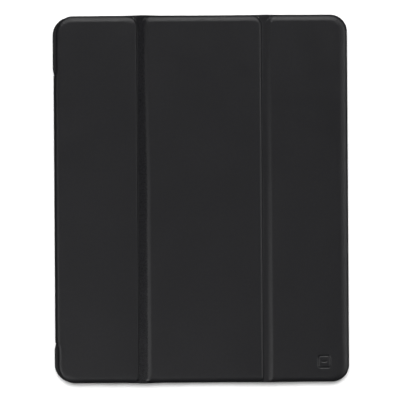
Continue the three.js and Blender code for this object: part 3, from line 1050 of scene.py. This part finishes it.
def microfibre():
    """Brushed cloth: a nap that lies in soft patches, and a sheen at the edges."""
    m = Nodes("grey_microfibre", at_rest=True)
    nap = m.noise(2600, 3, place=m.stretched(1, 0.7, 1))
    brushed = m.noise(30, 5, 0.65, 0.6)
    patches = m.spread(m.combine(nap, m.combine(brushed, 0.5, "MULTIPLY")), 0.5, 1.0, 0, 1)
    m.colour(patches, (0.028, 0.028, 0.031), (0.055, 0.055, 0.06))
    m.rough(m.spread(nap, 0.3, 0.7, 0.86, 0.98))
    m.bump(m.combine(nap, m.noise(700, 2)), 0.00008, 0.6)
    m.fixed(Specular_IOR_Level=0.2, Sheen_Weight=0.25, Sheen_Roughness=0.45, Sheen_Tint=(0.6, 0.6, 0.63, 1))
    return m.material


def soft_plastic():
    m = Nodes("matte_tpu")
    m.colour(m.noise(60, 4), (0.009, 0.009, 0.01), (0.014, 0.014, 0.015))
    m.rough(m.spread(m.noise(900, 3), 0.3, 0.7, 0.46, 0.6))
    m.bump(m.noise(6500, 2), 0.00002, 0.5)
    m.fixed(Specular_IOR_Level=0.25)
    return m.material


def hard_plastic():
    """Moulded plastic with a spark-eroded texture."""
    m = Nodes("textured_plastic")
    m.colour(m.noise(120, 3), (0.014, 0.014, 0.015), (0.02, 0.02, 0.021))
    m.rough(m.spread(m.noise(2200, 3), 0.3, 0.7, 0.34, 0.5))
    m.bump(m.cells(3800, "F1"), 0.00003, 0.6)
    return m.material


def glass_fibre_board():
    m = Nodes("glass_fibre_board")
    strands = m.noise(800, 3, place=m.stretched(1, 0.08, 1))
    crossed = m.noise(800, 3, place=m.stretched(0.08, 1, 1))
    m.colour(m.spread(m.combine(strands, crossed), 0.8, 1.25, 0, 1), (0.22, 0.23, 0.19), (0.34, 0.35, 0.29))
    m.rough(m.spread(strands, 0.3, 0.7, 0.45, 0.65))
    m.bump(m.combine(strands, crossed), 0.00005, 0.5)
    return m.material


def foam():
    m = Nodes("closed_cell_foam")
    cells = m.cells(1800, "F1")
    m.colour(m.spread(cells, 0.1, 0.7, 0, 1), (0.05, 0.05, 0.053), (0.085, 0.085, 0.09))
    m.rough(m.spread(m.noise(400, 3), 0.3, 0.7, 0.85, 0.97))
    m.bump(cells, 0.0001, 0.6)
    return m.material


def nickel():
    m = Nodes("nickel_plate")
    brushed = m.noise(1600, 3, place=m.stretched(1, 0.05, 1))
    m.colour(m.noise(200, 3), (0.56, 0.55, 0.53), (0.66, 0.65, 0.62))
    m.rough(m.spread(brushed, 0.3, 0.7, 0.22, 0.4))
    m.bump(brushed, 0.00001, 0.4)
    m.fixed(Metallic=1.0)
    return m.material


def floor_paint(glow):
    m = Nodes("pale_floor")
    m.fixed(Emission_Strength=glow, Emission_Color=(1, 1, 1, 1))
    m.colour(m.noise(3, 2), (0.86, 0.86, 0.86), (0.88, 0.88, 0.88))
    m.fixed(Roughness=0.9, Specular_IOR_Level=0.1)
    return m.material


LEATHER = leather()
CLOTH = microfibre()
TPU = soft_plastic()
PLASTIC = hard_plastic()
FOAM = foam()

# ---- assembling -------------------------------------------


def place_piece(piece, material, body, slot, *nodes):
    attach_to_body(piece, body)
    dress(piece, material, slot, *nodes)


def whole_cells(marks):
    """The cells whose four corners are marked."""
    return marks[:-1, :-1] & marks[1:, :-1] & marks[1:, 1:] & marks[:-1, 1:]


def foam_pads(leather_inner):
    """Each panel's pad fills the space between the board and the leather."""
    x, y, z = np.moveaxis(leather_inner, -1, 0)
    base = BOARD_TOP + GLUE
    top = leather_inner - np.array([0, 0, GLUE])
    under = np.stack([x, y, np.full(z.shape, base)], -1)
    thick = (edge_distance(x, y)[0] > FOAM_MARGIN) & (z > base + 0.2) & (HEM_LEVEL == 0)
    for number in (1, 2, 3):
        low, high = box_mm(f"panel_{number}_foam")
        keep = whole_cells(thick & (x > low[0] - 0.01) & (x < high[0] + 0.01))
        piece = sheet_piece(f"panel_{number}_pad", top, under, keep)
        place_piece(piece, FOAM, f"panel_{number}", "foam", f"panel_{number}_foam")


def make_cover():
    skin = cover_surfaces()
    skins = [f"panel_{n}_skin" for n in (1, 2, 3)]
    tapes = [f"crease_{n}_tape" for n in (1, 2)]
    cover_sheets("leather", skin, LEATHER, "leather", skins + tapes)
    linings = [f"panel_{n}_lining" for n in (1, 2, 3)]
    cover_sheets("lining", lining_surfaces(), CLOTH, "microfibre", linings)
    foam_pads(skin[1])


def seam_height(rows):
    """Height of the panel's leather at its seam with the spine's."""
    return cover_height(np.full(len(rows), SEAM_X), rows)


def make_spine():
    x, top = SPINE_X, SPINE_HIGH[2]
    path = spine_path(SPINE_X, COVER_TOP, 0.0, TOP_ROUND, BOTTOM_ROUND)
    surfaces = spine_surfaces(path, SKIN, 1, seam_height, folds=(10.4, 1.7), hem=1.45, bow=0.8)
    bends = {"top": ((x + 1.6, top), (x + 3.8, top + 0.9)), "bottom": ((x + 2.4, 0.2), (x + 0.9, 2.6))}
    spine_sheets("leather", surfaces, LEATHER, "leather", bends, "spine_skin")
    path = spine_path(LINING_X, COVER_BOTTOM, PLATE_TOP - 1, 1.0)
    bends["top"] = ((LINING_X + 0.1, top - 0.7), (LINING_X + 1.7, top + 0.7))
    spine_sheets("lining", spine_surfaces(path, LINING, -1), CLOTH, "microfibre", bends, "spine_lining")


def make_tray():
    place_piece(tray_bumper(), TPU, "shell", "tpu", "bumper_frame")
    place_piece(back_leather(), LEATHER, "shell", "leather", "back_skin")
    place_piece(tray_lining(), CLOTH, "shell", "microfibre", "tray_lining")
    place_piece(camera_ring(), PLASTIC, "shell", "hard_plastic", "camera_ring")
    for name in BUTTONS:
        place_piece(button(name), TPU, name, "tpu", name)


def finish_nodes():
    """Materials for the parts that keep their own shape."""
    looks = {"board": glass_fibre_board(), "stiffener": glass_fibre_board(), "plate": PLASTIC}
    looks |= {"magnet": nickel(), "keeper": nickel()}
    for name, node in NODES.items():
        for word, material in looks.items():
            if word in name:
                node.data.materials.clear()
                node.data.materials.append(material)


make_cover()
make_spine()
make_tray()
finish_nodes()

# ---- the picture ------------------------------------------


def area_light(name, place, size, power, aim=(0, 0, 0)):
    lamp = bpy.data.lights.new(name, "AREA")
    lamp.shape = "RECTANGLE"
    lamp.size, lamp.size_y = size
    lamp.energy = power
    light = new_object(name, lamp)
    light.location = place
    light.rotation_euler = (Vector(aim) - Vector(place)).to_track_quat("-Z", "Y").to_euler()
    return light


def light_floor(light, floor_only):
    """Keeps a light for the floor, or off it."""
    group = bpy.data.collections.new(light.name + "_receivers")
    group.objects.link(ground)
    if not floor_only:
        group.collection_objects[0].light_linking.link_state = "EXCLUDE"
    light.light_linking.receiver_collection = group


def floor_wash(tilt_deg, spread_deg, strength):
    """An even light on the floor, from a little beyond the top, for a short soft shadow."""
    lamp = bpy.data.lights.new("floor_wash", "SUN")
    lamp.energy = strength
    lamp.angle = math.radians(spread_deg)
    light = new_object("floor_wash", lamp)
    light.rotation_euler = (math.radians(-tilt_deg), 0, 0)
    light_floor(light, True)


def backdrop():
    """A floor that curves up into a wall all round. Only the camera sees it, so it adds no reflections."""
    radius, cove, height, count = 9.0, 3.0, 12.0, 96
    below = 0.0002  # just below the case
    profile = [(0.3, 0), (2.0, 0)] + arc((radius, cove), cove, -90, 0, 12) + [(radius + cove, height)]
    bm = bmesh.new()
    rings = []
    for r, z in profile:
        angles = np.linspace(0, 2 * math.pi, count, endpoint=False)
        rings.append([bm.verts.new((r * math.cos(a), r * math.sin(a), z - below)) for a in angles])
    bm.faces.new(rings[0])
    for level, (low, high) in enumerate(zip(rings, rings[1:])):
        for i in range(count):
            j = (i + 1) % count
            face = bm.faces.new((low[i], low[j], high[j], high[i]))
            face.material_index = int(level > 1)
            face.smooth = True
    mesh = bpy.data.meshes.new("backdrop")
    bm.to_mesh(mesh)
    bm.free()
    mesh.materials.append(floor_paint(0.0))
    mesh.materials.append(floor_paint(0.85))
    studio = new_object("backdrop", mesh)
    studio.visible_diffuse = studio.visible_glossy = False
    studio.visible_transmission = studio.visible_shadow = False
    return studio


VIEW = {"width": 314.6, "x": -0.47, "y": -0.88, "turn": -0.38, "lens": 250}


def camera():
    data = bpy.data.cameras.new("camera")
    data.lens = VIEW["lens"]
    data.clip_start, data.clip_end = 0.01, 50
    eye = new_object("camera", data)
    distance = VIEW["width"] * MM * data.lens / data.sensor_width
    eye.location = (VIEW["x"] * MM, VIEW["y"] * MM, COVER_TOP * MM + distance)
    eye.rotation_euler = (0, 0, math.radians(VIEW["turn"]))
    bpy.context.scene.camera = eye


def world(brightness):
    scene = bpy.context.scene
    scene.world = bpy.data.worlds.new("studio")
    scene.world.use_nodes = True
    background = scene.world.node_tree.nodes["Background"]
    background.inputs["Color"].default_value = (1, 1, 1, 1)
    background.inputs["Strength"].default_value = brightness
    scene.view_settings.view_transform = "Standard"


ground = backdrop()
camera()
world(0.06)
floor_wash(14, 32, 4.6)
for name, place, size, power in (
    ("key", (0.0, 1.7, 1.95), (2.4, 0.9), 39),
    ("left", (-0.9, -0.45, 0.75), (1.0, 0.4), 4.6),
    ("right", (1.5, -0.1, 1.3), (1.6, 0.5), 10),
    ("fill", (-0.4, -0.8, 1.9), (0.6, 0.6), 5.2),
):
    light_floor(area_light(name, place, size, power), False)
